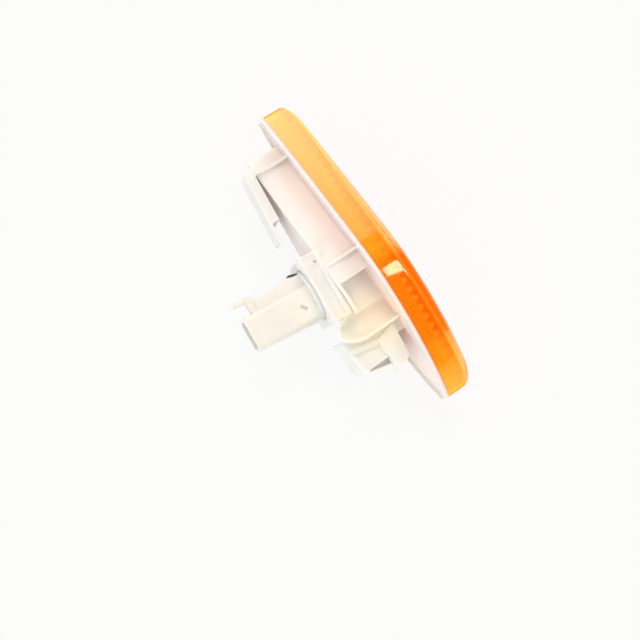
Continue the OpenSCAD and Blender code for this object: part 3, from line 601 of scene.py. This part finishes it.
# Bulb glass
# Blown soda-lime envelope with its pinched wedge base, pushed into the holder by hand.
# Its thin wall keeps the solid's own edges.
clear_glass = moulded_material(
    "bulb glass",
    dark=(0.97, 0.98, 0.98),
    light=(1.0, 1.0, 1.0),
    roughness=(0.0, 0.02),
    bump=0.01,
    settings={"Transmission Weight": 1.0, "IOR": 1.5},
)
smoothed_copy("bulb_glass", "glass_envelope", 0.0, clear_glass, "holder")

# Filament
# Tungsten wire wound to a coil and clamped between the two lead wires.
# Its place is given in the leaning collar's frame, as the bulb's is.
collar_x = -3.2
collar_lean = radians(4)
chamber_depth = 13.5
seat_depth = 5.0
glass_length = 20.5
filament_depth = 6.5
filament_length = 3.9
coil_radius = 0.34
coil_wire_radius = 0.055
coil_turns = 16.0
coil_resolution = 16
wire_resolution = 8
tungsten = moulded_material(
    "tungsten",
    dark=(0.2, 0.2, 0.21),
    light=(0.3, 0.3, 0.31),
    roughness=(0.3, 0.4),
    bump=0.1,
    settings={"Metallic": 1.0},
    grain_scale=3000.0,
)


def coil_tree():
    """Wire wound on a straight axis, from named sizes, and the identifiers of its inputs."""
    tree = bpy.data.node_groups.new("wound wire", "GeometryNodeTree")
    kinds = dict.fromkeys(("Length", "Coil Radius", "Wire Radius", "Turns"), "NodeSocketFloat")
    kinds["Material"] = "NodeSocketMaterial"
    identifiers = {}
    for name, kind in kinds.items():
        socket = tree.interface.new_socket(name, in_out="INPUT", socket_type=kind)
        identifiers[name] = socket.identifier
    tree.interface.new_socket("Geometry", in_out="OUTPUT", socket_type="NodeSocketGeometry")
    given = tree.nodes.new("NodeGroupInput").outputs
    results = tree.nodes.new("NodeGroupOutput").inputs
    spiral_inputs = {
        "Resolution": coil_resolution,
        "Rotations": given["Turns"],
        "Start Radius": given["Coil Radius"],
        "End Radius": given["Coil Radius"],
        "Height": given["Length"],
    }
    spiral = add_node(tree, "GeometryNodeCurveSpiral", spiral_inputs).outputs["Curve"]
    ring_inputs = {"Resolution": wire_resolution, "Radius": given["Wire Radius"]}
    ring = add_node(tree, "GeometryNodeCurvePrimitiveCircle", ring_inputs).outputs["Curve"]
    sweep_inputs = {"Curve": spiral, "Profile Curve": ring, "Fill Caps": True}
    sweep = add_node(tree, "GeometryNodeCurveToMesh", sweep_inputs).outputs["Mesh"]
    realized = add_node(tree, "GeometryNodeRealizeInstances", {"Geometry": sweep}).outputs["Geometry"]
    paint_inputs = {"Geometry": realized, "Material": given["Material"]}
    painted = add_node(tree, "GeometryNodeSetMaterial", paint_inputs).outputs["Geometry"]
    tree.links.new(painted, results["Geometry"])
    return tree, identifiers


def grown(name, tree, identifiers, values, place):
    """Runs a Geometry Nodes tree and keeps its result as a plain mesh, put in place."""
    carrier = bpy.data.objects.new(name + "_carrier", bpy.data.meshes.new(name + "_carrier"))
    bpy.context.scene.collection.objects.link(carrier)
    modifier = carrier.modifiers.new("grow", "NODES")
    modifier.node_group = tree
    for key, value in values.items():
        modifier[identifiers[key]] = value
    evaluated = carrier.evaluated_get(bpy.context.evaluated_depsgraph_get())
    mesh = bpy.data.meshes.new_from_object(evaluated)
    mesh.name = name
    bpy.data.objects.remove(carrier)
    mesh.transform(place)
    bm = bmesh.new()
    bm.from_mesh(mesh)
    bmesh.ops.remove_doubles(bm, verts=bm.verts, dist=point_gap)
    bmesh.ops.recalc_face_normals(bm, faces=bm.faces)
    bm.to_mesh(mesh)
    bm.free()
    mesh.polygons.foreach_set("use_smooth", [True] * len(mesh.polygons))
    piece = bpy.data.objects.new(name, mesh)
    bpy.context.scene.collection.objects.link(piece)
    return piece


coil_sizes = {
    "Length": filament_length * MM,
    "Coil Radius": coil_radius * MM,
    "Wire Radius": coil_wire_radius * MM,
    "Turns": coil_turns,
    "Material": tungsten,
}
filament_y = seat_depth - glass_length + filament_depth
in_collar = Matrix.Translation((collar_x * MM, chamber_depth * MM, 0)) @ Matrix.Rotation(-collar_lean, 4, "Z")
coil_start = Matrix.Translation((-filament_length * MM / 2, filament_y * MM, 0))
along_x = Matrix.Rotation(pi / 2, 4, "Y")
filament = grown("coiled_filament", *coil_tree(), coil_sizes, in_collar @ coil_start @ along_x)
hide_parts("bulb_filament")
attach(filament, "holder")

# Lead wires
# Drawn wires sealed in the glass and folded back over the wedge base.
# They are round, so they get no edge radius.
lead_metal = moulded_material(
    "lead wire",
    dark=(0.45, 0.44, 0.43),
    light=(0.55, 0.54, 0.53),
    roughness=(0.25, 0.35),
    bump=0.1,
    settings={"Metallic": 1.0},
    grain_scale=3000.0,
)
smoothed_copy("bulb_wires", "folded_leads", 0.0, lead_metal, "holder", sharp=40)

# Contacts
# Two strips stamped and folded from spring brass. Each presses on a lead wire and ends as a blade
# in the shroud.
strip_radius = 0.06
contact_brass = moulded_material(
    "spring brass",
    dark=(0.62, 0.44, 0.16),
    light=(0.74, 0.54, 0.22),
    roughness=(0.25, 0.4),
    bump=0.1,
    settings={"Metallic": 1.0},
    grain_scale=2500.0,
)
for node in ("contact_clip_side", "contact_hook_side"):
    smoothed_copy(node, "brass_" + node, strip_radius, contact_brass, "holder")

# Floor
# Wide pale table under the lamp. Camera, gloss and glass see it nearly white, and it keeps the lamp's shadow.
# Its top is just below the lamp's lowest point, and its reach is in metres.
floor_z = -17.6
table_reach = 30.0
table_colour = (0.85, 0.85, 0.85, 1)
table_seen = (0.98, 0.98, 0.98, 1)
seen_share = 0.92
table_mesh = bpy.data.meshes.new("table")
table_corners = [
    (x * table_reach, y * table_reach, floor_z * MM) for x, y in ((-1, -1), (1, -1), (1, 1), (-1, 1))
]
table_mesh.from_pydata(table_corners, [], [(0, 1, 2, 3)])
table = bpy.data.objects.new("table", table_mesh)
bpy.context.scene.collection.objects.link(table)
table_paint = bpy.data.materials.new("pale table")
table_paint.use_nodes = True
tree = table_paint.node_tree
tree.nodes.clear()
matt = add_node(tree, "ShaderNodeBsdfDiffuse", {"Color": table_colour})
glow = add_node(tree, "ShaderNodeEmission", {"Color": table_seen, "Strength": 1.0})
path = add_node(tree, "ShaderNodeLightPath").outputs
seen = maths(tree, "MAXIMUM", path["Is Camera Ray"], path["Is Glossy Ray"])
seen = maths(tree, "MAXIMUM", seen, path["Is Transmission Ray"])
seen = maths(tree, "MULTIPLY", seen, seen_share)
layers = {"Fac": seen, 1: matt.outputs["BSDF"], 2: glow.outputs["Emission"]}
table_shader = add_node(tree, "ShaderNodeMixShader", layers)
add_node(tree, "ShaderNodeOutputMaterial", {"Surface": table_shader.outputs["Shader"]})
table_mesh.materials.append(table_paint)

# Room
# Even, soft light from all round. Camera and glass see the room nearly white. Gloss sees it pale behind the
# lamp and dark in front of it, as beside a dark cloth, which keeps the amber deep.
room_light = (0.95, 0.98, 0.97, 1)
room_strength = 0.6
cloth_light = (0.94, 0.98, 1.0, 1)
cloth_turn = (-0.15, 0.15)
cloth_front, cloth_rear = 0.05, 0.7
room_seen = (0.95, 0.95, 0.95, 1)
room = bpy.data.worlds.new("room")
bpy.context.scene.world = room
room.use_nodes = True
tree = room.node_tree
soft = tree.nodes["Background"]
soft.inputs["Color"].default_value = room_light
soft.inputs["Strength"].default_value = room_strength
generated = add_node(tree, "ShaderNodeTexCoord").outputs["Generated"]
rearward = add_node(tree, "ShaderNodeSeparateXYZ", {"Vector": generated}).outputs["Y"]
cloth_strength = ramp(tree, rearward, *cloth_turn, cloth_front, cloth_rear, kind="LINEAR")
cloth = add_node(tree, "ShaderNodeBackground", {"Color": cloth_light, "Strength": cloth_strength})
pale = add_node(tree, "ShaderNodeBackground", {"Color": room_seen, "Strength": 1.0})
path = add_node(tree, "ShaderNodeLightPath").outputs
layers = {"Fac": path["Is Glossy Ray"], 1: soft.outputs["Background"], 2: cloth.outputs["Background"]}
lit = add_node(tree, "ShaderNodeMixShader", layers)
seen = maths(tree, "MAXIMUM", path["Is Camera Ray"], path["Is Transmission Ray"])
layers = {"Fac": seen, 1: lit.outputs["Shader"], 2: pale.outputs["Background"]}
shown = add_node(tree, "ShaderNodeMixShader", layers)
tree.links.new(shown.outputs["Shader"], tree.nodes["World Output"].inputs["Surface"])


def soft_box(name, toward, distance, width, height, power, color, spread=180, tall=(0, 1, 0)):
    """Area light that faces the lamp, its height along tall. A small spread dims it toward its edges."""
    data = bpy.data.lights.new(name, "AREA")
    data.shape = "RECTANGLE"
    data.size, data.size_y = width, height
    data.energy = power
    data.color = color
    data.spread = radians(spread)
    box = bpy.data.objects.new(name, data)
    bpy.context.scene.collection.objects.link(box)
    out = Vector(toward).normalized()
    across = Vector(tall).cross(out).normalized()
    turn = Matrix((across, out.cross(across), out)).transposed().to_4x4()
    box.matrix_world = Matrix.Translation(out * distance) @ turn


# Soft boxes all round, in metres and watts. The skirt and the bevel mirror the last three.
cool, warm, gold, cream = (0.93, 0.97, 0.96), (1.0, 0.74, 0.61), (1.0, 0.8, 0.34), (1.0, 0.93, 0.8)
up_z = (0, 0, 1)
soft_box("rear_box", (0.05, 0.92, 0.3), distance=0.9, width=0.9, height=0.6, power=1.7, color=cool)
soft_box("top_box", (-0.1, 0.45, 0.89), distance=0.8, width=0.5, height=0.3, power=0.6, color=cool)
soft_box("hook_fill", (-0.68, 0.7, 0.22), distance=0.8, width=0.4, height=0.3, power=1.1, color=cool)
soft_box("clip_fill", (0.85, 0.42, 0.3), distance=0.8, width=0.5, height=0.4, power=0.34, color=cool)
soft_box("skirt_box", (0.68, -0.28, 0.67), 0.7, width=0.468, height=0.5, power=0.31, color=warm, spread=47)
soft_box("hook_box", (-0.92, -0.3, 0.22), 0.8, width=0.5, height=0.3, power=0.095, color=gold, spread=48)
soft_box("bevel_box", (0.588, -0.8, 0.15), 0.9, width=0.62, height=0.26, power=0.65, color=cream, tall=up_z)

# Slanted reflector whose image is the bright block on the skirt. Each row holds the Y of its directions from
# the lamp, then the X of its hook side and of its clip side. Rows run from the lamp's back to its front.
reflector_rows = (
    (-0.299, -0.083, -0.004),
    (-0.34, -0.108, -0.008),
    (-0.42, -0.14, -0.03),
    (-0.52, -0.2, -0.12),
)
reflector_distance = 0.6
reflector_shine = {"Color": (1.0, 0.88, 0.62, 1), "Strength": 14.0}
corners = []
for front, hook_side, clip_side in reflector_rows:
    for side in (hook_side, clip_side):
        corners.append(Vector((side, front, sqrt(1 - side**2 - front**2))) * reflector_distance)
strips = [(2 * row, 2 * row + 1, 2 * row + 3, 2 * row + 2) for row in range(len(reflector_rows) - 1)]
reflector_mesh = bpy.data.meshes.new("reflector")
reflector_mesh.from_pydata(corners, [], strips)
reflector_paint = bpy.data.materials.new("lit card")
reflector_paint.use_nodes = True
tree = reflector_paint.node_tree
tree.nodes.clear()
shine = add_node(tree, "ShaderNodeEmission", reflector_shine).outputs["Emission"]
add_node(tree, "ShaderNodeOutputMaterial", {"Surface": shine})
reflector_mesh.materials.append(reflector_paint)
reflector = bpy.data.objects.new("reflector", reflector_mesh)
bpy.context.scene.collection.objects.link(reflector)

# Camera
# Above the lamp and a little behind it, turned so that the lamp runs from upper left to lower right.
# Its place is in millimetres, and its focal length is worked out from the frame's width in pixels.
eye = Vector((-11.9, 79.3, 277.5)) * MM
back = Vector((0.0, 0.1994, 0.9799)).normalized()
right = Vector((-0.5547, -0.8154, 0.1659))
right = (right - back * right.dot(back)).normalized()
up = back.cross(right)
focal_pixels, frame_pixels = 779.0, 640.0
camera_data = bpy.data.cameras.new("camera")
camera_data.sensor_width = 36.0
camera_data.lens = camera_data.sensor_width * focal_pixels / frame_pixels
camera_data.clip_start = 0.01
camera = bpy.data.objects.new("camera", camera_data)
bpy.context.scene.collection.objects.link(camera)
camera.matrix_world = Matrix.Translation(eye) @ Matrix((right, up, back)).transposed().to_4x4()
bpy.context.scene.camera = camera
bpy.context.scene.view_settings.view_transform = "Standard"
